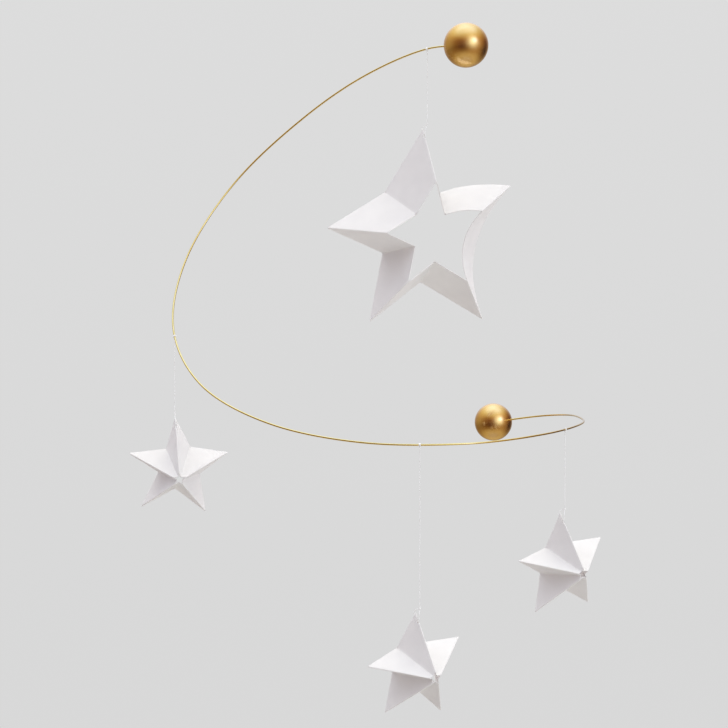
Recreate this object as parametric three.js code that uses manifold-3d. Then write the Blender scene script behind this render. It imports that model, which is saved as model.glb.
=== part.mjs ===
// Hanging mobile. A curved brass wire with a gold ball on each end carries one large open
// star and three small stars, each folded from one piece of white card, on fine threads.
// Lengths are in millimetres. +Z is up, +X is to the right and -Y is towards the viewer.
// The origin is the point of the wire by which the whole mobile hangs.
import * as THREE from 'three';
import { mergeVertices } from 'three/addons/utils/BufferGeometryUtils.js';
import Module from 'manifold-3d';

const wasm = await Module();
wasm.setup();

// Driving dimensions: the wire and its balls
const WIRE_SPAN = 272;
const WIRE_DIAMETER = 1.2;
const WIRE_SIDES = 8;
const WIRE_STEPS = 130;
const TOP_BALL_DIAMETER = 30;
const LOWER_BALL_DIAMETER = 27;
const BORE_DEPTH = 8;
const BALL_RINGS = 16;
const BALL_SIDES = 24;

// Driving dimensions: the card stars, flat pentagons with a pentagon opening before folding
const CARD_THICKNESS = 0.5;
const LARGE_SIDE = 100;
const LARGE_OPENING_SIDE = 51.5;
const SMALL_SIDE = 51;
const SMALL_OPENING_SIDE = 6;
const HOLE_INSET = 5.5;
const HOLE_ARC_STEPS = 6;

// Driving dimensions: the threads, with the room left round them
const THREAD_DIAMETER = 0.4;
const THREAD_SIDES = 8;
const THREAD_STEP_DIAMETERS = 3;
const THREAD_MAX_STEPS = 30;
const TURN_STEPS = 12;
const LOOP_STEPS = 26;
const LOOP_RISE = 3;
const KNOT_DIAMETER = 1.3;
const KNOT_SIDES = 8;
const CLEARANCE = 0.3;
const HOLE_SLACK = 1.3;
const LARGE_DROP = 58.5;
const LEFT_DROP = 59.2;
const BOTTOM_DROP = 107.5;
const RIGHT_DROP = 58.5;

// The wire's sweep, as shares of its span, from the middle of one ball to that of the other
const WIRE_STATIONS = [
  [0.095, -0.034, 0.005], // top ball
  [0, 0, 0], // hanging point
  [-0.154, 0.056, -0.06],
  [-0.312, 0.109, -0.163],
  [-0.486, 0.134, -0.324],
  [-0.599, 0.054, -0.51],
  [-0.621, -0.106, -0.687], // leftmost bend
  [-0.542, -0.272, -0.819],
  [-0.377, -0.42, -0.901],
  [-0.162, -0.512, -0.939],
  [0.073, -0.512, -0.942], // nearest to the viewer
  [0.26, -0.376, -0.93],
  [0.37, -0.176, -0.917],
  [0.374, -0.022, -0.911], // rightmost bend
  [0.351, 0.132, -0.916],
  [0.292, 0.257, -0.928],
  [0.188, 0.33, -0.947], // lower ball
];

// One star of each place: where its thread is tied, as a share of the wire's length, how far
// the hole hangs below and aside of the thread's line, how the star is turned, and how unevenly
// its five arms are folded.
// Angles are in degrees. The arms go anticlockwise from the top one, seen from the front.
// slopes is how far each ridge leans back, and turns how far it stands off an even fifth.
const STARS = [
  {
    name: 'large_star',
    side: LARGE_SIDE,
    openingSide: LARGE_OPENING_SIDE,
    station: 0.0319,
    drop: LARGE_DROP,
    aside: -1.6,
    yaw: 21,
    tilt: 3,
    roll: 2.6,
    turns: [0, 11, 1, 0, 9],
    slopes: [31, 36.5, 36.5, 32.5, 31.5],
    softValley: 3,
    bowedArm: 4,
  },
  {
    name: 'left_star',
    side: SMALL_SIDE,
    openingSide: SMALL_OPENING_SIDE,
    station: 0.3851,
    drop: LEFT_DROP,
    aside: 0.6,
    yaw: 11,
    tilt: 14,
    roll: 2,
    turns: [0, -2, -6, -4, -2],
    slopes: [35.5, 41.5, 37, 33.5, 34],
  },
  {
    name: 'bottom_star',
    side: SMALL_SIDE,
    openingSide: SMALL_OPENING_SIDE,
    station: 0.6377,
    drop: BOTTOM_DROP,
    aside: -0.7,
    yaw: 34,
    tilt: 8,
    roll: 5,
    turns: [0, 6, 0, -4, 5],
    slopes: [34.5, 38, 42, 33, 34.5],
  },
  {
    name: 'right_star',
    side: SMALL_SIDE,
    openingSide: SMALL_OPENING_SIDE,
    station: 0.7747,
    drop: RIGHT_DROP,
    aside: -0.8,
    yaw: 33,
    tilt: 8,
    roll: 8,
    turns: [0, 2, -2, -1, 2],
    slopes: [36, 39.5, 37.5, 34.5, 36.5],
  },
];

// The loop through a star's hole, from the knot to the front, through, and up behind the tip:
// how far up the ridge from the hole, as a share of the hole's inset, and how far off the card
// to the front, as a share of the room that the thread needs there.
const LOOP_PLACES = [
  [0.55, 1.6],
  [0.27, 1],
  [-0.02, 0],
  [0.2, -1.2],
  [0.75, -1.15],
  [1.24, -0.7],
];

// Shares and counts that shape the folds
const ARMS = 5;
const HALF_SECTOR = Math.PI / ARMS;
const SOFT_VALLEY_FACETS = 8;
const BOWED_FACETS = 4;
const BOW_SLACK = THREE.MathUtils.degToRad(0.5);
const BISECTION_STEPS = 60;
const ROUTE_DIVISIONS = 2000;
const WELD_DISTANCE = 1e-4;
const TINY = 1e-6;

const GOLD = new THREE.MeshStandardMaterial({ color: 0xb8862f, roughness: 0.38, metalness: 1 });
const BRASS = new THREE.MeshStandardMaterial({ color: 0xc79a4b, roughness: 0.28, metalness: 1 });
const CARD = new THREE.MeshStandardMaterial({ color: 0xf6f5f4, roughness: 0.85, metalness: 0 });
const THREAD = new THREE.MeshStandardMaterial({ color: 0xfafafa, roughness: 0.7, metalness: 0 });

// The part of a longer curve between two shares of its length
class Stretch extends THREE.Curve {
  constructor(whole, start, end) {
    super();
    this.whole = whole;
    this.start = start;
    this.end = end;
  }

  getPoint(share, target = new THREE.Vector3()) {
    const along = this.start + (this.end - this.start) * share;
    return this.whole.getPointAt(THREE.MathUtils.clamp(along, 0, 1), target);
  }
}

function circleShape(radius, sides) {
  const corners = [];
  for (let corner = 0; corner < sides; corner += 1) {
    const angle = (2 * Math.PI * corner) / sides;
    corners.push(new THREE.Vector2(radius * Math.cos(angle), radius * Math.sin(angle)));
  }
  return new THREE.Shape(corners);
}

function tubeAlong(curve, diameter, sides, steps) {
  const shape = circleShape(diameter / 2, sides);
  return new THREE.ExtrudeGeometry(shape, { steps, bevelEnabled: false, extrudePath: curve });
}

function welded(geometry) {
  const bare = geometry.clone();
  bare.deleteAttribute('normal');
  bare.deleteAttribute('uv');
  return mergeVertices(bare, WELD_DISTANCE);
}

function toSolid(geometry) {
  const merged = welded(geometry);
  const mesh = new wasm.Mesh({
    numProp: 3,
    vertProperties: new Float32Array(merged.attributes.position.array),
    triVerts: new Uint32Array(merged.index.array),
  });
  mesh.merge();
  return new wasm.Manifold(mesh);
}

function toGeometry(solid) {
  const mesh = solid.getMesh();
  const geometry = new THREE.BufferGeometry();
  geometry.setAttribute('position', new THREE.BufferAttribute(mesh.vertProperties, 3));
  geometry.setIndex(new THREE.BufferAttribute(mesh.triVerts, 1));
  geometry.computeVertexNormals();
  return geometry;
}

function namedMesh(name, geometry, material) {
  const mesh = new THREE.Mesh(geometry, material);
  mesh.name = name;
  return mesh;
}

// The wire, from inside one ball to inside the other
const route = new THREE.CatmullRomCurve3(
  WIRE_STATIONS.map((station) => new THREE.Vector3(...station).multiplyScalar(WIRE_SPAN)),
);
route.arcLengthDivisions = ROUTE_DIVISIONS;

function makeWire() {
  const length = route.getLength();
  const start = (TOP_BALL_DIAMETER / 2 - BORE_DEPTH + CLEARANCE) / length;
  const end = 1 - (LOWER_BALL_DIAMETER / 2 - BORE_DEPTH + CLEARANCE) / length;
  const path = new Stretch(route, start, end);
  return namedMesh('wire', tubeAlong(path, WIRE_DIAMETER, WIRE_SIDES, WIRE_STEPS), BRASS);
}

// A ball drilled along the wire that enters it
function makeBall(name, diameter, share, inward) {
  const radius = diameter / 2;
  const profile = [];
  for (let ring = 0; ring <= BALL_RINGS; ring += 1) {
    const angle = (Math.PI * ring) / BALL_RINGS - Math.PI / 2;
    const onAxis = ring === 0 || ring === BALL_RINGS;
    const out = onAxis ? 0 : radius * Math.cos(angle);
    profile.push(new THREE.Vector2(out, radius * Math.sin(angle)));
  }
  const sphere = toSolid(new THREE.LatheGeometry(profile, BALL_SIDES));

  const boreRadius = WIRE_DIAMETER / 2 + CLEARANCE;
  const bottom = radius - BORE_DEPTH;
  const bore = new THREE.LatheGeometry(
    [
      new THREE.Vector2(0, bottom),
      new THREE.Vector2(boreRadius, bottom),
      new THREE.Vector2(boreRadius, radius + BORE_DEPTH),
      new THREE.Vector2(0, radius + BORE_DEPTH),
    ],
    WIRE_SIDES * 2,
  );
  const ball = namedMesh(name, toGeometry(sphere.subtract(toSolid(bore))), GOLD);

  const centre = route.getPointAt(share);
  const entry = route.getPointAt(share + (inward * (radius - BORE_DEPTH / 2)) / route.getLength());
  ball.position.copy(centre);
  ball.quaternion.setFromUnitVectors(
    new THREE.Vector3(0, 1, 0),
    entry.sub(centre).normalize(),
  );
  return ball;
}

// Folding. The card is a flat pentagon cut out of paper that can bend but not stretch. Every
// fold runs straight to one common apex, which lies in the opening. A fold is given by its unit
// direction from that apex, with x to the right, y up and z to the front.
function ridgeDirection(star, arm) {
  const around = Math.PI / 2 + 2 * HALF_SECTOR * arm + THREE.MathUtils.degToRad(star.turns[arm]);
  const back = THREE.MathUtils.degToRad(star.slopes[arm]);
  return new THREE.Vector3(
    Math.cos(back) * Math.cos(around),
    Math.cos(back) * Math.sin(around),
    -Math.sin(back),
  );
}

// The valley between two ridges stands at a set angle from each of them, behind both
function valleyDirection(before, after, angleBefore, angleAfter) {
  const between = before.dot(after);
  const rest = 1 - between * between;
  const cosBefore = Math.cos(angleBefore);
  const cosAfter = Math.cos(angleAfter);
  const level = before
    .clone()
    .multiplyScalar((cosBefore - cosAfter * between) / rest)
    .addScaledVector(after, (cosAfter - cosBefore * between) / rest);
  const across = before.clone().cross(after);
  const height = Math.sqrt(Math.max(0, 1 - level.lengthSq()) / rest);
  const side = across.z > 0 ? -1 : 1;
  return level.addScaledVector(across, side * height);
}

// Directions strictly between two others, where the card bends round instead of folding: they
// stand at equal steps on a cone whose developed angle is the card's. side 1 swells forward.
function bentDirections(before, after, developed, facets, side) {
  const facet = developed / facets;
  const chord = before.angleTo(after);
  const goal = Math.sin(chord / 2) / Math.sin(facet / 2);
  let low = TINY;
  let high = (2 * Math.PI) / facets;
  for (let step = 0; step < BISECTION_STEPS; step += 1) {
    const middle = (low + high) / 2;
    const ratio = Math.sin((facets * middle) / 2) / Math.sin(middle / 2);
    if (ratio > goal) {
      low = middle;
    } else {
      high = middle;
    }
  }
  const turn = (low + high) / 2;
  const coneAngle = Math.asin(Math.sin(facet / 2) / Math.sin(turn / 2));
  const lean = Math.acos(THREE.MathUtils.clamp(Math.cos(coneAngle) / Math.cos(chord / 2), -1, 1));
  const middle = before.clone().add(after).normalize();
  const front = before.clone().cross(after).normalize();
  const axis = middle
    .multiplyScalar(Math.cos(lean))
    .addScaledVector(front, -side * Math.sin(lean));
  const sense = Math.sign(axis.dot(before.clone().cross(after))) || 1;
  const directions = [];
  for (let step = 1; step < facets; step += 1) {
    directions.push(before.clone().applyAxisAngle(axis, sense * turn * step));
  }
  return directions;
}

// All fold and bend lines of a star in order, each with its angle on the flat card
function foldLines(star) {
  const lines = [];
  for (let arm = 0; arm < ARMS; arm += 1) {
    const ridge = ridgeDirection(star, arm);
    const next = ridgeDirection(star, (arm + 1) % ARMS);
    const flat = 2 * HALF_SECTOR * arm;
    lines.push({ direction: ridge, flat });
    const bowed = star.bowedArm === arm;
    if (star.softValley === arm) {
      bentDirections(ridge, next, 2 * HALF_SECTOR, SOFT_VALLEY_FACETS, -1).forEach(
        (direction, index) => {
          const part = ((index + 1) * 2 * HALF_SECTOR) / SOFT_VALLEY_FACETS;
          lines.push({ direction, flat: flat + part });
        },
      );
      continue;
    }
    const slack = bowed ? BOW_SLACK : 0;
    const valley = valleyDirection(ridge, next, HALF_SECTOR - slack, HALF_SECTOR);
    if (bowed) {
      bentDirections(ridge, valley, HALF_SECTOR, BOWED_FACETS, 1).forEach((direction, index) => {
        lines.push({ direction, flat: flat + ((index + 1) * HALF_SECTOR) / BOWED_FACETS });
      });
    }
    lines.push({ direction: valley, flat: flat + HALF_SECTOR });
  }
  return lines;
}

// The distance from the middle of a pentagon to its edge, at an angle from one corner
function pentagonReach(side, flat) {
  const corner = side / (2 * Math.sin(HALF_SECTOR));
  const fromMiddle = (flat % (2 * HALF_SECTOR)) - HALF_SECTOR;
  return (corner * Math.cos(HALF_SECTOR)) / Math.cos(fromMiddle);
}

// One facet of card between two neighbouring lines, in the plane of that facet: its corners,
// and whether the edge from each corner to the next is cut or goes on over a fold
function facetOutline(star, line, next, hole) {
  const span = line.direction.angleTo(next.direction);
  const corner = (reach, angle, fold) => ({
    x: reach * Math.cos(angle),
    y: reach * Math.sin(angle),
    fold,
  });
  const inner = corner(pentagonReach(star.openingSide, line.flat), 0, 'line');
  const outer = corner(pentagonReach(star.side, line.flat), 0, 'line');
  const nextOuter = corner(pentagonReach(star.side, next.flat), span, 'next');
  const nextInner = corner(pentagonReach(star.openingSide, next.flat), span, 'next');
  const outline = [inner];
  if (hole && hole.on === 'line') {
    for (let step = 0; step <= HOLE_ARC_STEPS; step += 1) {
      const angle = Math.PI - (Math.PI * step) / HOLE_ARC_STEPS;
      const ends = step === 0 || step === HOLE_ARC_STEPS;
      outline.push({
        x: hole.reach + hole.radius * Math.cos(angle),
        y: ends ? 0 : hole.radius * Math.sin(angle),
        fold: ends ? 'line' : null,
      });
    }
  }
  outline.push(outer, nextOuter);
  if (hole && hole.on === 'next') {
    for (let step = 0; step <= HOLE_ARC_STEPS; step += 1) {
      const angle = -(Math.PI * step) / HOLE_ARC_STEPS;
      const ends = step === 0 || step === HOLE_ARC_STEPS;
      const along = hole.reach + hole.radius * Math.cos(angle);
      const aside = ends ? 0 : hole.radius * Math.sin(angle);
      outline.push({
        x: along * Math.cos(span) - aside * Math.sin(span),
        y: along * Math.sin(span) + aside * Math.cos(span),
        fold: ends ? 'next' : null,
      });
    }
  }
  outline.push(nextInner);
  return outline;
}

// Half the card's thickness as a step off a fold line, so that both facets keep their thickness
function mitre(normal, neighbour) {
  const sum = normal.clone().add(neighbour);
  return sum.multiplyScalar(CARD_THICKNESS / 2 / (1 + normal.dot(neighbour)));
}

function holeRadius() {
  return THREAD_DIAMETER / 2 + HOLE_SLACK;
}

// The closed sheet of one star, with the middle of its thread hole at the mesh's own origin
function starGeometry(star, lines, hang) {
  const count = lines.length;
  const normals = lines.map((line, index) =>
    line.direction.clone().cross(lines[(index + 1) % count].direction).normalize(),
  );
  const reach = pentagonReach(star.side, 0) - HOLE_INSET;
  const vertices = [];
  const triangle = (a, b, c) => vertices.push(...a.toArray(), ...b.toArray(), ...c.toArray());

  lines.forEach((line, index) => {
    const next = lines[(index + 1) % count];
    const normal = normals[index];
    const steps = {
      line: mitre(normals[(index + count - 1) % count], normal),
      next: mitre(normal, normals[(index + 1) % count]),
    };
    const flatStep = normal.clone().multiplyScalar(CARD_THICKNESS / 2);
    const across = normal.clone().cross(line.direction);
    let hole = null;
    if (index === 0) {
      hole = { on: 'line', reach, radius: holeRadius() };
    } else if (index === count - 1) {
      hole = { on: 'next', reach, radius: holeRadius() };
    }
    const outline = facetOutline(star, line, next, hole);
    const middles = outline.map((corner) =>
      line.direction.clone().multiplyScalar(corner.x).addScaledVector(across, corner.y).sub(hang),
    );
    const offsets = outline.map((corner) => (corner.fold ? steps[corner.fold] : flatStep));
    const front = middles.map((middle, corner) => middle.clone().add(offsets[corner]));
    const back = middles.map((middle, corner) => middle.clone().sub(offsets[corner]));

    const contour = outline.map((corner) => new THREE.Vector2(corner.x, corner.y));
    const forwards = THREE.ShapeUtils.isClockWise(contour) ? -1 : 1;
    THREE.ShapeUtils.triangulateShape(contour, []).forEach(([a, b, c]) => {
      const [second, third] = forwards > 0 ? [b, c] : [c, b];
      triangle(front[a], front[second], front[third]);
      triangle(back[a], back[third], back[second]);
    });
    outline.forEach((corner, from) => {
      const to = (from + 1) % outline.length;
      const alongFold = corner.fold && corner.fold === outline[to].fold;
      const acrossHole =
        alongFold && Math.abs(middles[from].distanceTo(middles[to]) - 2 * holeRadius()) < TINY;
      if (!alongFold || acrossHole) {
        triangle(front[from], back[from], back[to]);
        triangle(front[from], back[to], front[to]);
      }
    });
  });

  const geometry = new THREE.BufferGeometry();
  geometry.setAttribute('position', new THREE.Float32BufferAttribute(vertices, 3));
  const closed = mergeVertices(geometry, WELD_DISTANCE);
  closed.computeVertexNormals();
  return closed;
}

// Where a thread leaves its turn round the wire: the lowest point of that turn
function threadStart(star) {
  const tangent = route.getTangentAt(star.station);
  const down = new THREE.Vector3(0, 0, -1);
  down.addScaledVector(tangent, -down.dot(tangent)).normalize();
  const radius = WIRE_DIAMETER / 2 + CLEARANCE + THREAD_DIAMETER / 2;
  return route.getPointAt(star.station).addScaledVector(down, radius);
}

// The middle of the hole by which a star hangs, nearly straight under the start of its thread
function holePlace(star) {
  const place = threadStart(star);
  place.x += star.aside;
  place.z = route.getPointAt(star.station).z - star.drop;
  return place;
}

// A star in its place under its thread, turned as it hangs
function makeStar(star) {
  const lines = foldLines(star);
  const reach = pentagonReach(star.side, 0) - HOLE_INSET;
  const hang = lines[0].direction.clone().multiplyScalar(reach);
  const mesh = namedMesh(star.name, starGeometry(star, lines, hang), CARD);
  mesh.rotation.z = THREE.MathUtils.degToRad(star.roll);

  const tilted = new THREE.Group();
  tilted.rotation.x = Math.PI / 2 + THREE.MathUtils.degToRad(star.tilt);
  tilted.add(mesh);
  const hanger = new THREE.Group();
  hanger.position.copy(holePlace(star));
  hanger.rotation.z = THREE.MathUtils.degToRad(star.yaw);
  hanger.add(tilted);
  return hanger;
}

// A thread: a turn round the wire, the straight fall, a knot, and a loop through the star's hole
function makeThread(star) {
  const tie = route.getPointAt(star.station);
  const tangent = route.getTangentAt(star.station);
  const turnRadius = WIRE_DIAMETER / 2 + CLEARANCE + THREAD_DIAMETER / 2;
  const turn = new THREE.TorusGeometry(turnRadius, THREAD_DIAMETER / 2, THREAD_SIDES, TURN_STEPS);
  turn.applyQuaternion(
    new THREE.Quaternion().setFromUnitVectors(new THREE.Vector3(0, 0, 1), tangent),
  );
  turn.translate(tie.x, tie.y, tie.z);

  const lines = foldLines(star);
  const turned = new THREE.Euler(0, 0, THREE.MathUtils.degToRad(star.roll));
  const toWorld = (direction) =>
    direction
      .clone()
      .applyEuler(turned)
      .applyAxisAngle(new THREE.Vector3(1, 0, 0), Math.PI / 2 + THREE.MathUtils.degToRad(star.tilt))
      .applyAxisAngle(new THREE.Vector3(0, 0, 1), THREE.MathUtils.degToRad(star.yaw));
  const ridge = toWorld(lines[0].direction);
  const before = lines[lines.length - 1].direction.clone().cross(lines[0].direction).normalize();
  const after = lines[0].direction.clone().cross(lines[1].direction).normalize();
  const outward = toWorld(before.clone().add(after).normalize());
  const spread = Math.sqrt(2 / (1 + before.dot(after)));

  const room = (CARD_THICKNESS / 2 + CLEARANCE + THREAD_DIAMETER / 2) * spread;
  const hole = holePlace(star);
  const place = (along, off) =>
    hole
      .clone()
      .addScaledVector(ridge, along * HOLE_INSET)
      .addScaledVector(outward, off * room);
  const start = threadStart(star);
  const knot = new THREE.Vector3(start.x, start.y, place(1, 0).z + LOOP_RISE);
  const places = LOOP_PLACES.map(([along, off]) => place(along, off));
  const loop = new THREE.CatmullRomCurve3([knot, ...places, knot]);

  const fall = new THREE.LineCurve3(start, knot);
  const fallSteps = Math.min(
    THREAD_MAX_STEPS,
    Math.ceil(fall.getLength() / (THREAD_STEP_DIAMETERS * THREAD_DIAMETER)),
  );
  const bead = new THREE.SphereGeometry(KNOT_DIAMETER / 2, KNOT_SIDES, KNOT_SIDES);
  bead.translate(knot.x, knot.y, knot.z);
  const solid = toSolid(turn)
    .add(toSolid(tubeAlong(fall, THREAD_DIAMETER, THREAD_SIDES, fallSteps)))
    .add(toSolid(tubeAlong(loop, THREAD_DIAMETER, THREAD_SIDES, LOOP_STEPS)))
    .add(toSolid(bead));
  return namedMesh(star.name.replace('star', 'thread'), toGeometry(solid), THREAD);
}

const mobile = new THREE.Group();
mobile.add(makeWire());
mobile.add(makeBall('top_ball', TOP_BALL_DIAMETER, 0, 1));
mobile.add(makeBall('lower_ball', LOWER_BALL_DIAMETER, 1, -1));
STARS.forEach((star) => {
  mobile.add(makeStar(star));
  mobile.add(makeThread(star));
});

export default mobile;
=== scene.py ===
"""Looks of a hanging mobile: a bent brass wire, two gold balls, one large open star and three
small stars folded from white card, on fine threads. Metres, +Z up, -Y towards the viewer."""

import math
import random

import bpy
from mathutils import Matrix, Quaternion, Vector
from mathutils.geometry import delaunay_2d_cdt
from mathutils.noise import noise


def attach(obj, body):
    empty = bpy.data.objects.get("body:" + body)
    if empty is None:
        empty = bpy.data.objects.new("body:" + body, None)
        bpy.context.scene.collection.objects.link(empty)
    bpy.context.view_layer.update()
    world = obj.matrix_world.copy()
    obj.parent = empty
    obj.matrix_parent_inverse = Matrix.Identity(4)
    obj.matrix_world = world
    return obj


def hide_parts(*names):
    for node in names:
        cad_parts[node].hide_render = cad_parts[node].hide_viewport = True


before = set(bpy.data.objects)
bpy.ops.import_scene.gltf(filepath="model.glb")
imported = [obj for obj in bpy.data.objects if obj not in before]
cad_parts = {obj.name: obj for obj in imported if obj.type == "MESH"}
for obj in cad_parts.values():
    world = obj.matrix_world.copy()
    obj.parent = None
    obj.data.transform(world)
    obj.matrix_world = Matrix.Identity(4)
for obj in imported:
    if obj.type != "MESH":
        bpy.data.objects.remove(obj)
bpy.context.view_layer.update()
random.seed(7)
MM = 0.001

# The camera stands in front of the mobile, a little below its hanging point
PICTURE_PIXELS = 728
FOCAL_PIXELS = 2000
SENSOR_WIDTH = 36
CAMERA_PLACE = (-0.04246, -1.3546, -0.1652)
CAMERA_LEAN = 88
camera_data = bpy.data.cameras.new("camera")
camera_data.sensor_width = SENSOR_WIDTH
camera_data.lens = FOCAL_PIXELS / PICTURE_PIXELS * SENSOR_WIDTH
camera = bpy.data.objects.new("camera", camera_data)
camera.location = CAMERA_PLACE
camera.rotation_euler = (math.radians(CAMERA_LEAN), 0, 0)
bpy.context.scene.collection.objects.link(camera)
bpy.context.scene.camera = camera

# Sizes, in millimetres, as in the solids
WIRE_SPAN = 272
WIRE_DIAMETER = 1.2
TOP_BALL_DIAMETER = 30
LOWER_BALL_DIAMETER = 27
BORE_DEPTH = 8
CARD_THICKNESS = 0.5
LARGE_SIDE = 100
LARGE_OPENING_SIDE = 51.5
SMALL_SIDE = 51
SMALL_OPENING_SIDE = 6
HOLE_INSET = 5.5
HOLE_RADIUS = 1.5
THREAD_DIAMETER = 0.4
KNOT_DIAMETER = 1.3
LOOP_RISE = 3
CLEARANCE = 0.3

# How finely things are drawn, and small forms that show only from near by, in millimetres
ROUTE_DIVISIONS = 2000
TANGENT_REACH = 0.0005
WIRE_STEPS = 900
WIRE_SIDES = 16
BALL_STEPS = 60
BALL_SIDES = 96
BORE_SLACK = 0.12
LIP_WIDTH = 0.35
YARN_STEP = 0.16
YARN_SIDES = 12
TURN_STEPS = 28
TURN_SIDES = 9
FALL_STEPS = 60
LOOP_STEPS = 120
HIDDEN_IN_KNOT = 0.42
STRANDS = 3
LAY_PITCH = 1.5
STRAND_DEPTH = 0.18
HOLE_STEPS = 36
SOFT_FACETS = 8
BOWED_FACETS = 4

# The star's mesh: the bands of its rounded creases, and room and jitter as shares of its grain
CREASE_HALF_WIDTH = 0.42
BAND_SHARES = (-1, -0.5, 0, 0.5, 1)
BAND_END_GAP = 0.02
HOLE_GAP = 0.05
HOLE_ROOM = 0.3
HOLE_INNER_SHARE = 0.985
EDGE_ROOM = 0.45
CREASE_ROOM = 0.35
ROW_RISE = 0.87
JITTER = 0.12
WELD_DISTANCE = 1e-4
SLIVER = 0.002

# The card's faint unevenness: how long its waves are, and how high. A long wave is a share of
# the side.
LONG_WAVE = 0.16
LONG_WAVE_HEIGHT = 0.12
SHORT_WAVE = 5
SHORT_WAVE_HEIGHT = 0.02
WEAR_REACH = 2.2

# The wire's sweep, as shares of its span, from the middle of one ball to that of the other
WIRE_STATIONS = [
    (0.095, -0.034, 0.005),  # top ball
    (0, 0, 0),  # hanging point
    (-0.154, 0.056, -0.06),
    (-0.312, 0.109, -0.163),
    (-0.486, 0.134, -0.324),
    (-0.599, 0.054, -0.51),
    (-0.621, -0.106, -0.687),  # leftmost bend
    (-0.542, -0.272, -0.819),
    (-0.377, -0.42, -0.901),
    (-0.162, -0.512, -0.939),
    (0.073, -0.512, -0.942),  # nearest to the viewer
    (0.26, -0.376, -0.93),
    (0.37, -0.176, -0.917),
    (0.374, -0.022, -0.911),  # rightmost bend
    (0.351, 0.132, -0.916),
    (0.292, 0.257, -0.928),
    (0.188, 0.33, -0.947),  # lower ball
]

# Each star: where its thread is tied, as a share of the wire's length, how far the hole hangs
# below and aside of the thread's line, how the star is turned, how unevenly its arms are folded,
# which sector is soft and which arm bowed, and the mesh's grain. Angles are in degrees.
STARS = [
    dict(
        name="large",
        side=LARGE_SIDE,
        opening=LARGE_OPENING_SIDE,
        station=0.0319,
        drop=58.5,
        aside=-1.6,
        yaw=21,
        tilt=3,
        roll=2.6,
        turns=(0, 11, 1, 0, 9),
        slopes=(31, 36.5, 36.5, 32.5, 31.5),
        soft=3,
        bowed=4,
        grain=1.6,
    ),
    dict(
        name="left",
        side=SMALL_SIDE,
        opening=SMALL_OPENING_SIDE,
        station=0.3851,
        drop=59.2,
        aside=0.6,
        yaw=11,
        tilt=14,
        roll=2,
        turns=(0, -2, -6, -4, -2),
        slopes=(35.5, 41.5, 37, 33.5, 34),
        soft=None,
        bowed=None,
        grain=1.3,
    ),
    dict(
        name="bottom",
        side=SMALL_SIDE,
        opening=SMALL_OPENING_SIDE,
        station=0.6377,
        drop=107.5,
        aside=-0.7,
        yaw=34,
        tilt=8,
        roll=5,
        turns=(0, 6, 0, -4, 5),
        slopes=(34.5, 38, 42, 33, 34.5),
        soft=None,
        bowed=None,
        grain=1.3,
    ),
    dict(
        name="right",
        side=SMALL_SIDE,
        opening=SMALL_OPENING_SIDE,
        station=0.7747,
        drop=58.5,
        aside=-0.8,
        yaw=33,
        tilt=8,
        roll=8,
        turns=(0, 2, -2, -1, 2),
        slopes=(36, 39.5, 37.5, 34.5, 36.5),
        soft=None,
        bowed=None,
        grain=1.3,
    ),
]
# The loop through a star's hole: how far up the ridge, as a share of the hole's inset, and how
# far off the card, as a share of the room that the thread needs there
LOOP_PLACES = ((0.55, 1.6), (0.27, 1), (-0.02, 0), (0.2, -1.2), (0.75, -1.15), (1.24, -0.7))
ARMS = 5
HALF = math.pi / ARMS
BOW_SLACK = math.radians(0.5)
BISECTION_STEPS = 60
LEAST_SPACING = 1e-4
ANGLE_SLACK = 1e-9
TINY = 1e-6
UP = Vector((0, 0, 1))


def centripetal(points, t_all):
    """Points of a centripetal Catmull-Rom spline at the given shares of its spans."""
    count = len(points)
    made = []
    for t in t_all:
        place = t * (count - 1)
        span = min(int(math.floor(place)), count - 2)
        w = place - span
        p1 = points[span]
        p2 = points[span + 1]
        p0 = points[span - 1] if span > 0 else p1 * 2 - points[1]
        p3 = points[span + 2] if span + 2 < count else p2 * 2 - points[count - 2]
        d0 = max((p1 - p0).length_squared ** 0.25, LEAST_SPACING)
        d1 = max((p2 - p1).length_squared ** 0.25, LEAST_SPACING)
        d2 = max((p3 - p2).length_squared ** 0.25, LEAST_SPACING)
        t1 = ((p1 - p0) / d0 - (p2 - p0) / (d0 + d1) + (p2 - p1) / d1) * d1
        t2 = ((p2 - p1) / d1 - (p3 - p1) / (d1 + d2) + (p3 - p2) / d2) * d1
        made.append(
            p1
            + t1 * w
            + (p2 * 3 - p1 * 3 - t1 * 2 - t2) * w * w
            + (p1 * 2 - p2 * 2 + t1 + t2) * w * w * w
        )
    return made


class Route:
    """A line of close dots, read by the share of its own length."""

    def __init__(self, dots):
        self.dots = dots
        self.along = [0.0]
        for a, b in zip(dots, dots[1:]):
            self.along.append(self.along[-1] + (b - a).length)
        self.length = self.along[-1]

    def at(self, share):
        goal = min(max(share, 0), 1) * self.length
        low, high = 0, len(self.along) - 1
        while high - low > 1:
            middle = (low + high) // 2
            if self.along[middle] <= goal:
                low = middle
            else:
                high = middle
        step = self.along[high] - self.along[low]
        w = 0 if step == 0 else (goal - self.along[low]) / step
        return self.dots[low].lerp(self.dots[high], w)

    def tangent(self, share):
        return (self.at(share + TANGENT_REACH) - self.at(share - TANGENT_REACH)).normalized()


stations = [Vector(place) * WIRE_SPAN for place in WIRE_STATIONS]
route = Route(centripetal(stations, [i / ROUTE_DIVISIONS for i in range(ROUTE_DIVISIONS + 1)]))


# The folded star: the directions of its creases from the apex at which they would all meet
def ridge_direction(star, arm):
    around = math.pi / 2 + 2 * HALF * arm + math.radians(star["turns"][arm])
    back = math.radians(star["slopes"][arm])
    return Vector(
        (math.cos(back) * math.cos(around), math.cos(back) * math.sin(around), -math.sin(back))
    )


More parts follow.
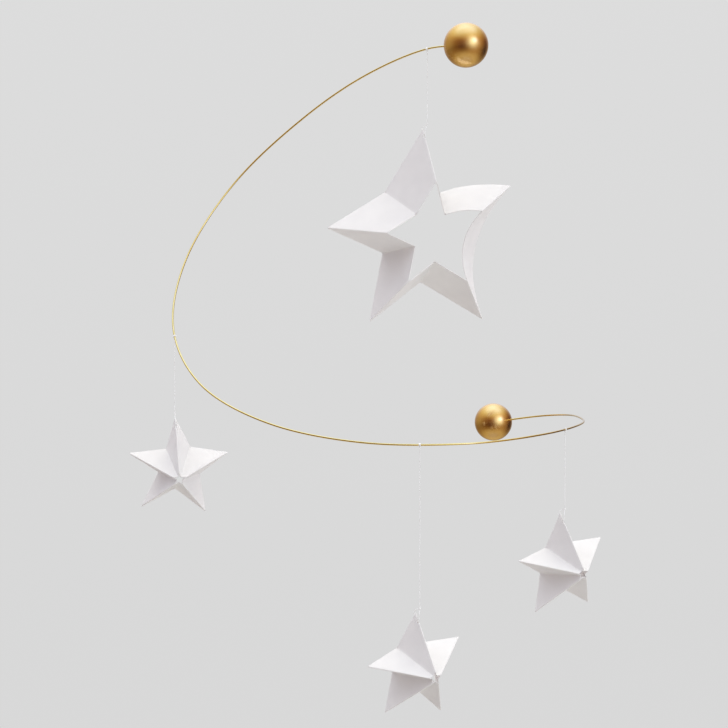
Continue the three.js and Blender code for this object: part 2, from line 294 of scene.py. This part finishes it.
def valley_direction(before, after, angle_before, angle_after):
    between = before.dot(after)
    rest = 1 - between * between
    cos_b, cos_a = math.cos(angle_before), math.cos(angle_after)
    level = before * ((cos_b - cos_a * between) / rest) + after * ((cos_a - cos_b * between) / rest)
    across = before.cross(after)
    height = math.sqrt(max(0, 1 - level.length_squared) / rest)
    return level + across * (-height if across.z > 0 else height)


def bent(before, after, developed, side, steps):
    """Axis and whole turn of the cone on which the card bends round between two directions."""
    facet = developed / steps
    chord = before.angle(after)
    goal = math.sin(chord / 2) / math.sin(facet / 2)
    low, high = TINY, 2 * math.pi / steps
    for _ in range(BISECTION_STEPS):
        middle = (low + high) / 2
        if math.sin(steps * middle / 2) / math.sin(middle / 2) > goal:
            low = middle
        else:
            high = middle
    turn = (low + high) / 2
    cone = math.asin(math.sin(facet / 2) / math.sin(turn / 2))
    lean = math.acos(min(1, max(-1, math.cos(cone) / math.cos(chord / 2))))
    front = before.cross(after).normalized()
    axis = (before + after).normalized() * math.cos(lean) - front * side * math.sin(lean)
    sense = 1 if axis.dot(before.cross(after)) >= 0 else -1
    return axis.normalized(), sense * turn * steps


def fold_sectors(star):
    """Each sector between two creases: flat angles, end directions, and its bend if it has one."""
    sectors = []
    for arm in range(ARMS):
        ridge = ridge_direction(star, arm)
        following = ridge_direction(star, (arm + 1) % ARMS)
        flat = 2 * HALF * arm
        if star["soft"] == arm:
            bend = bent(ridge, following, 2 * HALF, -1, SOFT_FACETS)
            sectors.append((flat, flat + 2 * HALF, ridge, following, bend))
            continue
        bowed = star["bowed"] == arm
        valley = valley_direction(ridge, following, HALF - (BOW_SLACK if bowed else 0), HALF)
        bend = bent(ridge, valley, HALF, 1, BOWED_FACETS) if bowed else None
        sectors.append((flat, flat + HALF, ridge, valley, bend))
        sectors.append((flat + HALF, flat + 2 * HALF, valley, following, None))
    return sectors


def pentagon_reach(side, flat):
    corner = side / (2 * math.sin(HALF))
    return corner * math.cos(HALF) / math.cos(flat % (2 * HALF) - HALF)


def direction_at(sectors, flat):
    flat %= 2 * math.pi
    for start, end, before, after, bend in sectors:
        if start - ANGLE_SLACK <= flat <= end + ANGLE_SLACK:
            share = (flat - start) / (end - start)
            if bend:
                axis, turn = bend
                made = before.copy()
                made.rotate(Quaternion(axis, turn * share))
                return made
            span = before.angle(after)
            return (
                before * math.sin((1 - share) * span) + after * math.sin(share * span)
            ) / math.sin(span)
    raise ValueError(flat)


def star_frame(star):
    """The turn from the star's own frame, with its apex at +Z, to the mobile's."""
    return (
        Matrix.Rotation(math.radians(star["yaw"]), 3, "Z")
        @ Matrix.Rotation(math.pi / 2 + math.radians(star["tilt"]), 3, "X")
        @ Matrix.Rotation(math.radians(star["roll"]), 3, "Z")
    )


def thread_start(star):
    """The top of the fall, square under the wire."""
    tangent = route.tangent(star["station"])
    down = (tangent * tangent.z - UP).normalized()
    radius = WIRE_DIAMETER / 2 + CLEARANCE + THREAD_DIAMETER / 2
    return route.at(star["station"]) + down * radius


def hole_place(star):
    place = thread_start(star)
    place.x += star["aside"]
    place.z = route.at(star["station"]).z - star["drop"]
    return place


def new_piece(name, vertices, faces, smooth=True):
    mesh = bpy.data.meshes.new(name)
    mesh.from_pydata([v * MM for v in vertices], [], faces)
    mesh.validate()
    if smooth:
        mesh.shade_smooth()
    piece = bpy.data.objects.new(name, mesh)
    bpy.context.scene.collection.objects.link(piece)
    return piece


# The threads: yarn of three strands, drawn as a twisted tube with three lobes
def sweep_frames(dots):
    """A steady normal and binormal at each point of a line."""
    tangents = []
    for i in range(len(dots)):
        a = dots[max(0, i - 1)]
        b = dots[min(len(dots) - 1, i + 1)]
        tangents.append((b - a).normalized())
    start = Vector((1, 0, 0)) if abs(tangents[0].x) < 0.8 else Vector((0, 1, 0))
    normal = (start - tangents[0] * start.dot(tangents[0])).normalized()
    frames = []
    for tangent in tangents:
        normal = (normal - tangent * normal.dot(tangent)).normalized()
        frames.append((tangent, normal, tangent.cross(normal)))
    return frames


def tube(dots, radius_at, sides):
    """Rings of vertices round a line, the faces between them, and a cap on each end."""
    frames = sweep_frames(dots)
    vertices, faces = [], []
    length = 0
    for i, dot in enumerate(dots):
        if i:
            length += (dot - dots[i - 1]).length
        _, normal, binormal = frames[i]
        for s in range(sides):
            angle = 2 * math.pi * s / sides
            r = radius_at(length, angle)
            vertices.append(dot + (normal * math.cos(angle) + binormal * math.sin(angle)) * r)
    rings = len(dots)
    for i in range(rings - 1):
        for s in range(sides):
            t = (s + 1) % sides
            faces.append((i * sides + s, i * sides + t, (i + 1) * sides + t, (i + 1) * sides + s))
    faces.append(tuple(reversed(range(sides))))
    faces.append(tuple((rings - 1) * sides + s for s in range(sides)))
    return vertices, faces


def evenly(dots, step):
    """The same line with points a set step apart."""
    line = Route(dots)
    count = max(2, round(line.length / step))
    return [line.at(i / count) for i in range(count + 1)]


def yarn_radius(length, angle):
    """Distance from the yarn's axis to its skin, with a groove between its strands."""
    lobe = 0.5 + 0.5 * math.cos(STRANDS * (angle - 2 * math.pi * length / LAY_PITCH))
    return THREAD_DIAMETER / 2 * (1 - STRAND_DEPTH + STRAND_DEPTH * lobe)


def thread_route(star):
    """Straight fall, then the loop through the star's hole and back to the knot."""
    sectors = fold_sectors(star)
    turn = star_frame(star)
    ridge = turn @ sectors[0][2]
    before = sectors[-1][2].cross(sectors[-1][3]).normalized()
    after = sectors[0][2].cross(direction_at(sectors, 0.05)).normalized()
    outward = turn @ (before + after).normalized()
    spread = math.sqrt(2 / (1 + before.dot(after)))
    room = (CARD_THICKNESS / 2 + CLEARANCE + THREAD_DIAMETER / 2) * spread
    hole = hole_place(star)

    def place(along, off):
        return hole + ridge * along * HOLE_INSET + outward * off * room

    start = thread_start(star)
    knot = Vector((start.x, start.y, place(1, 0).z + LOOP_RISE))
    corners = [knot] + [place(along, off) for along, off in LOOP_PLACES] + [knot]
    loop = centripetal(corners, [i / LOOP_STEPS for i in range(LOOP_STEPS + 1)])
    while (loop[-1] - knot).length < KNOT_DIAMETER * HIDDEN_IN_KNOT:
        loop.pop()
    fall = [start.lerp(knot, i / FALL_STEPS) for i in range(FALL_STEPS)]
    return evenly(fall + loop, YARN_STEP), knot


def turns_round(centre, axis, radius, width, turns, start_angle=0.0):
    """A close helix of yarn round an axis."""
    first = axis.orthogonal().normalized()
    second = axis.cross(first)
    steps = int(TURN_STEPS * turns)
    dots = []
    for i in range(steps + 1):
        angle = start_angle + 2 * math.pi * turns * i / steps
        along = (i / steps - 0.5) * width
        dots.append(
            centre + axis * along + (first * math.cos(angle) + second * math.sin(angle)) * radius
        )
    return tube(dots, yarn_radius, TURN_SIDES)


def join_parts(parts):
    vertices, faces = [], []
    for more_vertices, more_faces in parts:
        base = len(vertices)
        vertices += more_vertices
        faces += [tuple(base + i for i in face) for face in more_faces]
    return vertices, faces


def tie_parts(star):
    """Three close turns round the wire, one aslant over them, and a small knot under them."""
    tangent = route.tangent(star["station"])
    centre = route.at(star["station"])
    radius = WIRE_DIAMETER / 2 + THREAD_DIAMETER * 0.42
    aslant = (tangent + UP * 0.3).normalized()
    top = thread_start(star)
    down = (top - centre).normalized()
    return [
        turns_round(centre, tangent, radius, width=3 * THREAD_DIAMETER, turns=3.2),
        turns_round(
            centre, aslant, radius + THREAD_DIAMETER * 0.6, width=THREAD_DIAMETER, turns=1.1
        ),
        turns_round(top + down * 0.15, down, radius=0.2, width=0.6, turns=2.2),
    ]


def knot_parts(knot):
    """The knot above a star: upright turns of yarn with one turn aslant over them."""
    centre = knot - UP * 0.1
    aslant = Vector((0.5, 0.3, 0.8)).normalized()
    return [
        turns_round(centre, UP, radius=0.33, width=0.7, turns=2.6),
        turns_round(centre, aslant, radius=0.38, width=0.3, turns=1.2, start_angle=1.0),
    ]


def yarn_piece(name, vertices, faces):
    piece = new_piece(name, vertices, faces)
    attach(piece, "root")
    return piece


threads = []
for star in STARS:
    dots, knot = thread_route(star)
    thread = yarn_piece(star["name"] + "_cord", *tube(dots, yarn_radius, YARN_SIDES))
    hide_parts(star["name"] + "_thread")
    tie = yarn_piece(star["name"] + "_tie", *join_parts(tie_parts(star)))
    knot_piece = yarn_piece(star["name"] + "_knot", *join_parts(knot_parts(knot)))
    threads += [thread, tie, knot_piece]


def make_wire():
    """The wire, drawn smooth, from inside one ball to inside the other."""
    start = (TOP_BALL_DIAMETER / 2 - BORE_DEPTH + CLEARANCE) / route.length
    end = 1 - (LOWER_BALL_DIAMETER / 2 - BORE_DEPTH + CLEARANCE) / route.length
    dots = [route.at(start + (end - start) * i / WIRE_STEPS) for i in range(WIRE_STEPS + 1)]
    vertices, faces = tube(dots, lambda length, angle: WIRE_DIAMETER / 2, WIRE_SIDES)
    piece = new_piece("bent_wire", vertices, faces)
    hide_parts("wire")
    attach(piece, "root")
    return piece


wire = make_wire()


# The balls: turned beads with a drilled hole, slightly countersunk, where the wire goes in
def ball_profile(radius):
    """Distance from the axis and height along it, from the far pole over the rounded lip of the
    bore to the bottom of it."""
    bore = WIRE_DIAMETER / 2 + BORE_SLACK
    dots = []
    lip = math.asin((bore + LIP_WIDTH) / radius)
    for i in range(BALL_STEPS + 1):
        angle = -math.pi / 2 + (math.pi - lip) * i / BALL_STEPS
        dots.append((radius * math.cos(angle), radius * math.sin(angle)))
    top = dots[-1][1]
    dots += [(bore + 0.22, top - 0.02), (bore + 0.08, top - 0.12), (bore, top - 0.32)]
    dots += [(bore, radius - BORE_DEPTH), (0, radius - BORE_DEPTH)]
    dots[0] = (0, -radius)
    return dots


def make_ball(name, node, diameter, share, inward):
    """A ball at a share of the wire's length, its bore turned towards the wire inward of it."""
    radius = diameter / 2
    sides = BALL_SIDES
    profile = ball_profile(radius)
    vertices, faces = [Vector((0, 0, profile[0][1]))], []
    for out, height in profile[1:-1]:
        for s in range(sides):
            angle = 2 * math.pi * s / sides
            vertices.append(Vector((out * math.cos(angle), out * math.sin(angle), height)))
    vertices.append(Vector((0, 0, profile[-1][1])))
    last = len(vertices) - 1
    rings = len(profile) - 2
    top = 1 + (rings - 1) * sides
    for s in range(sides):
        t = (s + 1) % sides
        faces.append((0, 1 + t, 1 + s))
        for ring in range(rings - 1):
            a = 1 + ring * sides
            b = a + sides
            faces.append((a + s, a + t, b + t, b + s))
        faces.append((last, top + s, top + t))
    centre = route.at(share)
    entry = route.at(share + inward * (radius - BORE_DEPTH / 2) / route.length)
    turn = UP.rotation_difference((entry - centre).normalized())
    vertices = [centre + turn @ v for v in vertices]
    ball = new_piece(name, vertices, faces)
    turned = ball.data.attributes.new("turned", "FLOAT_VECTOR", "POINT")
    back = turn.inverted()
    for i, v in enumerate(vertices):
        turned.data[i].vector = back @ (v - centre)
    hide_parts(node)
    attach(ball, "root")
    return ball


balls = [
    make_ball("top_gold_ball", "top_ball", TOP_BALL_DIAMETER, 0, 1),
    make_ball("lower_gold_ball", "lower_ball", LOWER_BALL_DIAMETER, 1, -1),
]


# The stars, folded from a flat pattern with rounded creases
def toward(angle):
    """The unit vector at an angle in the flat card."""
    return Vector((math.cos(angle), math.sin(angle)))


def pentagon_dots(side, step):
    """Points about a step apart round a pentagon."""
    corners = [toward(2 * HALF * k) * side / (2 * math.sin(HALF)) for k in range(ARMS)]
    dots = []
    for k, a in enumerate(corners):
        b = corners[(k + 1) % ARMS]
        count = max(2, round((b - a).length / step))
        dots += [a.lerp(b, i / count) for i in range(count)]
    return dots


def depth_inside(dot, side):
    """How far inside the pentagon of a side a point lies."""
    inradius = side / (2 * math.tan(HALF))
    return min(inradius - dot.dot(toward(HALF + 2 * HALF * k)) for k in range(ARMS))


def crease_lines(star, arm):
    """The lines that draw the band of each crease of an arm, broken where the hole is."""
    step = star["grain"]
    creases = [(2 * HALF * arm, True)]
    if star["soft"] != arm:
        creases.append((2 * HALF * arm + HALF, False))
    lines = []
    for flat, is_ridge in creases:
        along = toward(flat)
        aside = Vector((-along.y, along.x))
        for share in BAND_SHARES:
            off = share * CREASE_HALF_WIDTH
            corner = abs(off) * math.tan(HALF) if is_ridge else 0
            near = pentagon_reach(star["opening"], flat) - corner + BAND_END_GAP
            far = pentagon_reach(star["side"], flat) - corner - BAND_END_GAP
            count = max(2, round((far - near) / step))
            lines.append([])
            for i in range(count + 1):
                dot = along * (near + (far - near) * i / count) + aside * off
                if (dot - hole_middle(star)).length < HOLE_RADIUS + HOLE_GAP:
                    lines.append([])
                else:
                    lines[-1].append(dot)
    return [line for line in lines if len(line) > 1]


def loose_dots(star):
    """Points spread over the card, a little at random, clear of its edges, hole and creases."""
    step = star["grain"]
    edge_room = EDGE_ROOM * step
    rows = int(star["side"] / (2 * math.sin(HALF)) / (step * ROW_RISE)) + 1
    dots = []
    for row in range(-rows, rows + 1):
        for column in range(-rows - 1, rows + 2):
            dot = Vector(((column + 0.5 * (row % 2)) * step, row * step * ROW_RISE))
            dot += Vector((random.uniform(-JITTER, JITTER), random.uniform(-JITTER, JITTER))) * step
            if depth_inside(dot, star["side"]) < edge_room:
                continue
            if depth_inside(dot, star["opening"]) > -edge_room:
                continue
            if (dot - hole_middle(star)).length < HOLE_RADIUS + HOLE_ROOM:
                continue
            if crease_distance(star, dot)[0] < CREASE_HALF_WIDTH + CREASE_ROOM * step:
                continue
            dots.append(dot)
    return dots


def flat_pattern(star):
    """Triangles of the flat pentagon with its opening, its thread hole and its crease bands."""
    points, edges = [], []

    def chain(dots, closed=False):
        base = len(points)
        points.extend(dots)
        edges.extend((base + i, base + i + 1) for i in range(len(dots) - 1))
        if closed:
            edges.append((base + len(dots) - 1, base))

    chain(pentagon_dots(star["side"], star["grain"]), True)
    chain(pentagon_dots(star["opening"], star["grain"]), True)
    for arm in range(ARMS):
        for line in crease_lines(star, arm):
            chain(line)
    middle = hole_middle(star)
    turns = [2 * math.pi * i / HOLE_STEPS for i in range(HOLE_STEPS)]
    chain([middle + toward(turn) * HOLE_RADIUS for turn in turns], True)
    points += loose_dots(star)
    made = delaunay_2d_cdt(points, edges, [], 0, WELD_DISTANCE)
    kept_points, triangles = made[0], made[2]
    kept = []
    for triangle in triangles:
        centre = sum((kept_points[i] for i in triangle), Vector((0, 0))) / 3
        on_card = depth_inside(centre, star["side"]) >= SLIVER
        off_opening = depth_inside(centre, star["opening"]) <= -SLIVER
        off_hole = (centre - middle).length >= HOLE_RADIUS * HOLE_INNER_SHARE
        if on_card and off_opening and off_hole:
            kept.append(tuple(triangle))
    return kept_points, kept


def hole_middle(star):
    return Vector((pentagon_reach(star["side"], 0) - HOLE_INSET, 0))


def crease_distance(star, dot):
    """How far off the nearest crease a point is, on which side, how far out, and its angle."""
    best = None
    for half in range(2 * ARMS):
        arm = half // 2
        if half % 2 and star["soft"] == arm:
            continue
        flat = HALF * half
        along = toward(flat)
        reach = dot.dot(along)
        off = dot.dot(Vector((-along.y, along.x)))
        if reach <= 0:
            continue
        if best is None or abs(off) < best[0]:
            best = (abs(off), off, reach, flat)
    return best


def fold(star, sectors, dot):
    """Where a point of the flat pattern lies once the card is folded, from the common apex."""
    distance, off, reach, crease = crease_distance(star, dot)
    if distance < CREASE_HALF_WIDTH:
        w = CREASE_HALF_WIDTH
        angle = math.atan2(w, reach)
        length = math.hypot(reach, w)
        line = direction_at(sectors, crease) * reach
        before = direction_at(sectors, crease - angle) * length
        after = direction_at(sectors, crease + angle) * length
        t = (off + w) / (2 * w)
        return before * (1 - t) ** 2 + line * 2 * t * (1 - t) + after * t * t
    return direction_at(sectors, math.atan2(dot.y, dot.x)) * dot.length


def make_star(star):
    """A folded star of even thickness, hung by its hole, with its wear as an attribute."""
    sectors = fold_sectors(star)
    dots, triangles = flat_pattern(star)
    turn = star_frame(star)
    hole = hole_place(star)
    hang = sectors[0][2] * hole_middle(star).x
    middle = [fold(star, sectors, dot) for dot in dots]
    normals = [Vector((0, 0, 0)) for _ in middle]
    used = set()
    edge_count = {}
    for a, b, c in triangles:
        used.update((a, b, c))
        normal = (middle[b] - middle[a]).cross(middle[c] - middle[a])
        for corner in (a, b, c):
            normals[corner] += normal
        for pair in ((a, b), (b, c), (c, a)):
            edge_count.setdefault(tuple(sorted(pair)), []).append(pair)
    order = {old: new for new, old in enumerate(sorted(used))}
    front, back, crease, flat_place = [], [], [], []
    half = CARD_THICKNESS / 2
    seed = Vector((star["yaw"] * 1.7, star["drop"] * 0.3, 5))
    for old in sorted(used):
        normal = normals[old].normalized()
        dot = dots[old]
        spot = Vector((dot.x, dot.y, 0))
        wave = noise(spot / (star["side"] * LONG_WAVE) + seed) * LONG_WAVE_HEIGHT
        wave += noise(spot / SHORT_WAVE + seed) * SHORT_WAVE_HEIGHT
        place = middle[old] + normal * wave - hang
        front.append(hole + turn @ (place + normal * half))
        back.append(hole + turn @ (place - normal * half))
        near = crease_distance(star, dot)[0]
        crease.append(max(0.0, 1 - near / (WEAR_REACH * CREASE_HALF_WIDTH)))
        flat_place.append(spot)
    count = len(front)
    vertices = front + back
    faces = []
    for a, b, c in triangles:
        a, b, c = order[a], order[b], order[c]
        faces.append((a, b, c))
        faces.append((c + count, b + count, a + count))
    rim = []
    for pairs in edge_count.values():
        if len(pairs) == 1:
            a, b = order[pairs[0][0]], order[pairs[0][1]]
            faces.append((b, a, a + count, b + count))
            rim.append((a, b))
    piece = new_piece(star["name"] + "_card_star", vertices, faces)
    mesh = piece.data
    sharp = mesh.attributes.new("sharp_edge", "BOOLEAN", "EDGE")
    rims = {frozenset(pair) for pair in rim} | {frozenset((a + count, b + count)) for a, b in rim}
    for edge in mesh.edges:
        if frozenset(edge.vertices) in rims:
            sharp.data[edge.index].value = True
    worn = mesh.attributes.new("crease", "FLOAT", "POINT")
    pattern = mesh.attributes.new("pattern", "FLOAT_VECTOR", "POINT")
    for i in range(count):
        for j, z in ((i, 0.0), (i + count, CARD_THICKNESS)):
            worn.data[j].value = crease[i]
            pattern.data[j].vector = (flat_place[i].x, flat_place[i].y, z)
    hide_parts(star["name"] + "_star")
    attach(piece, "root")
    return piece


stars = [make_star(star) for star in STARS]


# Materials
def node_material(name):
    material = bpy.data.materials.new(name)
    material.use_nodes = True
    nodes = material.node_tree.nodes
    links = material.node_tree.links
    shader = nodes["Principled BSDF"]
    return material, nodes, links, shader


def put(nodes, kind, **values):
    node = nodes.new(kind)
    for key, value in values.items():
        if key in node.inputs:
            node.inputs[key].default_value = value
        else:
            setattr(node, key, value)
    return node


def attribute(nodes, name):
    return put(nodes, "ShaderNodeAttribute", attribute_name=name)


def connect(links, socket, value):
    """Link a socket to another node's output, or set the socket's own value."""
    if isinstance(value, bpy.types.NodeSocket):
        links.new(value, socket)
    else:
        socket.default_value = value


def mixed(nodes, links, factor, first, second, blend="MIX"):
    node = nodes.new("ShaderNodeMix")
    node.data_type = "RGBA"
    node.blend_type = blend
    for name, value in (("Factor", factor), ("A", first), ("B", second)):
        connect(links, node.inputs[name], value)
    return node.outputs["Result"]


def noise_at(nodes, links, place, **values):
    node = put(nodes, "ShaderNodeTexNoise", **values)
    links.new(place, node.inputs["Vector"])
    return node.outputs["Fac"]


def scaled(nodes, links, source, scale):
    mapping = nodes.new("ShaderNodeMapping")
    mapping.inputs["Scale"].default_value = scale
    links.new(source, mapping.inputs["Vector"])
    return mapping.outputs["Vector"]


def ramp(nodes, links, source, stops):
    node = nodes.new("ShaderNodeValToRGB")
    elements = node.color_ramp.elements
    while len(elements) < len(stops):
        elements.new(0.5)
    for element, (place, colour) in zip(elements, stops):
        element.position = place
        element.color = (*colour, 1)
    links.new(source, node.inputs["Fac"])
    return node.outputs["Color"]


def to_range(nodes, links, source, low, high):
    node = nodes.new("ShaderNodeMapRange")
    node.inputs["To Min"].default_value = low
    node.inputs["To Max"].default_value = high
    links.new(source, node.inputs["Value"])
    return node.outputs["Result"]


def bump(nodes, links, height, strength, distance):
    node = put(nodes, "ShaderNodeBump", Strength=strength, Distance=distance)
    links.new(height, node.inputs["Height"])
    return node.outputs["Normal"]


def card_material():
    """Matt white card with fine fibres, faint clouds, and paler wear along its creases."""
    material, nodes, links, shader = node_material("white_card")
    place = attribute(nodes, "pattern").outputs["Vector"]
    worn = attribute(nodes, "crease").outputs["Fac"]
    fibre = noise_at(nodes, links, place, Scale=2.2, Detail=5.0, Roughness=0.6)
    cloud = noise_at(nodes, links, place, Scale=0.09, Detail=3.0)
    tones = [(0.3, (0.855, 0.85, 0.85)), (0.7, (0.885, 0.88, 0.878))]
    specks = [(0.35, (0.965, 0.965, 0.965)), (0.62, (1, 1, 1))]
    tone = ramp(nodes, links, cloud, tones)
    speck = ramp(nodes, links, fibre, specks)
    grain = mixed(nodes, links, 1, tone, speck, "MULTIPLY")
    wear = to_range(nodes, links, worn, 0, 0.55)
    colour = mixed(nodes, links, wear, grain, (0.93, 0.925, 0.92, 1))
    links.new(colour, shader.inputs["Base Color"])
    links.new(to_range(nodes, links, fibre, 0.78, 0.95), shader.inputs["Roughness"])
    links.new(bump(nodes, links, fibre, 0.25, 0.00004), shader.inputs["Normal"])
    shader.inputs["Specular IOR Level"].default_value = 0.3
    # A little light comes through the card
    through = nodes.new("ShaderNodeBsdfTranslucent")
    links.new(colour, through.inputs["Color"])
    both = put(nodes, "ShaderNodeMixShader", Fac=0.2)
    links.new(shader.outputs["BSDF"], both.inputs[1])
    links.new(through.outputs["BSDF"], both.inputs[2])
    links.new(both.outputs["Shader"], nodes["Material Output"].inputs["Surface"])
    return material


def gold_material():
    """Satin gold, finely brushed in rings round the bore."""
    material, nodes, links, shader = node_material("gold_ball")
    place = attribute(nodes, "turned").outputs["Vector"]
    rings = scaled(nodes, links, place, (0.35, 0.35, 9.0))
    brushed = noise_at(nodes, links, rings, Scale=1.0, Detail=6.0, Roughness=0.65)
    cloud = noise_at(nodes, links, place, Scale=0.22, Detail=3.0)
    tones = [(0.3, (0.9, 0.59, 0.24)), (0.7, (0.95, 0.64, 0.29))]
    links.new(ramp(nodes, links, cloud, tones), shader.inputs["Base Color"])
    shader.inputs["Metallic"].default_value = 1
    links.new(to_range(nodes, links, brushed, 0.19, 0.31), shader.inputs["Roughness"])
    links.new(bump(nodes, links, brushed, 0.18, 0.00003), shader.inputs["Normal"])
    return material


def wire_material():
    """Bright drawn brass with faint clouds of tarnish."""
    material, nodes, links, shader = node_material("brass_wire")
    place = nodes.new("ShaderNodeTexCoord").outputs["Object"]
    cloud = noise_at(nodes, links, place, Scale=160.0, Detail=4.0)
    fine = noise_at(nodes, links, place, Scale=2600.0, Detail=3.0)
    tones = [(0.3, (0.88, 0.68, 0.28)), (0.72, (0.96, 0.76, 0.35))]
    links.new(ramp(nodes, links, cloud, tones), shader.inputs["Base Color"])
    shader.inputs["Metallic"].default_value = 1
    links.new(to_range(nodes, links, cloud, 0.1, 0.2), shader.inputs["Roughness"])
    links.new(bump(nodes, links, fine, 0.12, 0.00002), shader.inputs["Normal"])
    return material


def thread_material():
    """Fine white yarn with a little fluff."""
    material, nodes, links, shader = node_material("white_thread")
    place = nodes.new("ShaderNodeTexCoord").outputs["Object"]
    fluff = noise_at(nodes, links, place, Scale=5200.0, Detail=4.0)
    tones = [(0.3, (0.86, 0.87, 0.88)), (0.7, (0.92, 0.925, 0.93))]
    links.new(ramp(nodes, links, fluff, tones), shader.inputs["Base Color"])
    links.new(to_range(nodes, links, fluff, 0.6, 0.85), shader.inputs["Roughness"])
    links.new(bump(nodes, links, fluff, 0.3, 0.00002), shader.inputs["Normal"])
    shader.inputs["Sheen Weight"].default_value = 0.15
    return material


dressed = (
    (card_material(), stars),
    (gold_material(), balls),
    (wire_material(), [wire]),
    (thread_material(), threads),
)
for material, pieces in dressed:
    for piece in pieces:
        piece.data.materials.append(material)

# The plain pale floor, well below the mobile
FLOOR_HEIGHT = -1300
FLOOR_RADIUS = 1700
FLOOR_SIDES = 96
rim = []
for i in range(FLOOR_SIDES):
    edge = toward(2 * math.pi * i / FLOOR_SIDES) * FLOOR_RADIUS
    rim.append(Vector((edge.x, edge.y, FLOOR_HEIGHT)))
floor = new_piece("floor", rim, [tuple(range(FLOOR_SIDES))], False)
floor.visible_glossy = False
floor_material, nodes, links, shader = node_material("floor")
place = nodes.new("ShaderNodeTexCoord").outputs["Object"]
cloud = noise_at(nodes, links, place, Scale=1.5, Detail=2.0)
tones = [(0.3, (0.44, 0.43, 0.42)), (0.7, (0.46, 0.45, 0.44))]
links.new(ramp(nodes, links, cloud, tones), shader.inputs["Base Color"])
shader.inputs["Roughness"].default_value = 0.9
floor.data.materials.append(floor_material)

# Soft studio light: a pale room. What lights the card, what the metal mirrors and what is seen
# behind the mobile are set apart. The card's light is even and the metal's blends from below
# upwards, each with soft lobes. A lobe holds a direction, how narrow it is, and its colour.
CARD_FILL = (0.242, 0.15, 0.141)
CARD_LOBES = [
    ((0, 0, 1), 2, (1.98, 2.16, 2.28)),
    ((0, 0.5, 0.87), 6, (0.608, 0.451, 0)),
    ((-0.8, -0.1, 0.6), 6, (0.358, 0.472, 0.636)),
    ((1, -0.2, 0), 6, (1.11, 1.27, 1.4)),
    ((0, -0.8, -0.6), 6, (0.701, 0.586, 0.438)),
    ((0, 1, -0.15), 1.5, (0.904, 0.814, 0.814)),
    ((0.8, -0.2, -0.6), 6, (0.591, 0.593, 0.523)),
    ((0, -0.3, -1), 2, (1.13, 1.47, 1.58)),
]
METAL_BLEND = [
    (-1.0, (0.5, 0.45, 0.38)),
    (-0.85, (0.53, 0.45, 0.25)),
    (-0.55, (0.235, 0.14, 0.045)),
    (-0.25, (0.13, 0.055, 0.005)),
    (0.0, (0.2, 0.098, 0.018)),
    (0.25, (0.21, 0.085, 0.012)),
    (0.5, (0.37, 0.23, 0.07)),
    (0.75, (0.67, 0.65, 0.43)),
    (1.0, (1.15, 1.5, 2.1)),
]
METAL_LOBES = [
    ((0.66, -0.67, 0.33), 60, (1.0, 1.5, 3.2)),
    ((0.52, -0.83, 0.22), 12, (0.85, 1.25, 1.5)),
    ((0.7, -0.7, 0.15), 3, (0.3, 0.22, 0.1)),
    ((0, 0.87, 0.5), 6, (0.58, 0.8, 1.2)),
    ((0.1, 0.9, -0.45), 6, (0.22, 0.25, 0.22)),
    ((-0.37, -0.92, -0.07), 9, (-0.085, -0.05, 0.0)),
    ((0.88, 0.47, -0.08), 7, (-0.16, -0.1, -0.03)),
    ((-0.88, 0.3, 0.34), 4, (0.22, 0.25, 0.16)),
    ((-0.05, -0.25, 0.97), 20, (-0.13, -0.3, -0.7)),
]
LEAST_METAL_LIGHT = (0.01, 0.005, 0.0)
BACKGROUND_TONES = [(0.42, (0.69, 0.69, 0.69)), (0.62, (0.73, 0.73, 0.73))]

# A ramp's colours stop at 1, so the blend's are halved in its ramp and doubled after it
BLEND_SCALE = 2.0

world = bpy.data.worlds.new("studio")
bpy.context.scene.world = world
world.use_nodes = True
nodes, links = world.node_tree.nodes, world.node_tree.links
background = nodes["Background"]
direction = nodes.new("ShaderNodeTexCoord").outputs["Generated"]


def number_math(operation, first, second):
    node = put(nodes, "ShaderNodeMath", operation=operation)
    connect(links, node.inputs[0], first)
    connect(links, node.inputs[1], second)
    return node.outputs["Value"]


def vector_math(operation, first, second, output="Vector"):
    node = put(nodes, "ShaderNodeVectorMath", operation=operation)
    connect(links, node.inputs[0], first)
    connect(links, node.inputs["Scale" if operation == "SCALE" else 1], second)
    return node.outputs[output]


def with_lobes(light, lobes):
    """The light with a soft lobe of colour added round each direction."""
    for middle, narrow, colour in lobes:
        facing = vector_math("DOT_PRODUCT", direction, Vector(middle).normalized(), "Value")
        share = number_math("POWER", number_math("MAXIMUM", facing, 0), narrow)
        light = vector_math("ADD", vector_math("SCALE", colour, share), light)
    return light


split = nodes.new("ShaderNodeSeparateXYZ")
links.new(direction, split.inputs["Vector"])
height = nodes.new("ShaderNodeMapRange")
height.inputs["From Min"].default_value = -1
height.inputs["From Max"].default_value = 1
links.new(split.outputs["Z"], height.inputs["Value"])
upward = height.outputs["Result"]
halved = [((z + 1) / 2, tuple(c / BLEND_SCALE for c in colour)) for z, colour in METAL_BLEND]
blend = vector_math("MULTIPLY", ramp(nodes, links, upward, halved), (BLEND_SCALE,) * 3)
metal_light = vector_math("MAXIMUM", with_lobes(blend, METAL_LOBES), LEAST_METAL_LIGHT)
card_light = with_lobes(CARD_FILL, CARD_LOBES)
background_tone = ramp(nodes, links, upward, BACKGROUND_TONES)
ray = nodes.new("ShaderNodeLightPath")
light = mixed(nodes, links, ray.outputs["Is Glossy Ray"], card_light, metal_light)
seen = mixed(nodes, links, ray.outputs["Is Camera Ray"], light, background_tone)
links.new(seen, background.inputs["Color"])

bpy.context.scene.view_settings.view_transform = "Standard"
bpy.context.scene.view_settings.look = "None"
